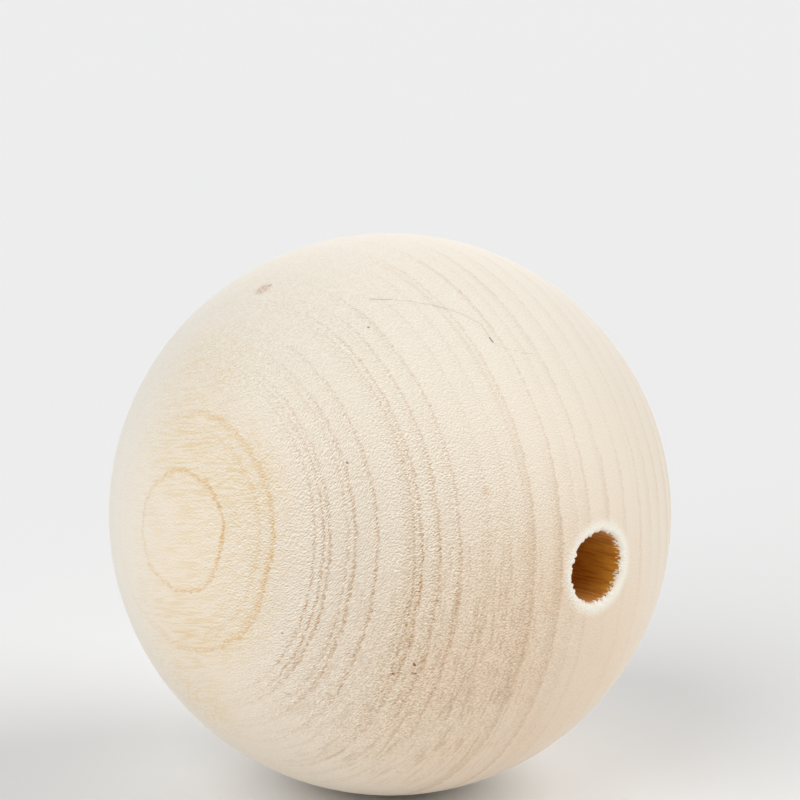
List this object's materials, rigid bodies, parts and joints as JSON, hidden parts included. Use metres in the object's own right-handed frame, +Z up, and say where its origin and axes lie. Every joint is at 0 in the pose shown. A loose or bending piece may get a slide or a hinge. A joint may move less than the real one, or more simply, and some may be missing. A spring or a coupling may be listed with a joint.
{
  "type": "wooden ball",
  "caption": "Turned ball of bare pale wood with a round hole drilled right through it and softly rounded mouths, to go on a rod, dowel or cord.",
  "frame": {"origin": "centre of the ball, on the axis of the hole", "axes": "+X along the hole and the grain, +Y across the growth rings, +Z up"},
  "size_m": [0.0792, 0.08, 0.08],
  "materials": {
    "wood": "bare, sanded"
  },
  "bodies": {
    "root": {"ball": "wood"}
  },
  "joints": []
}
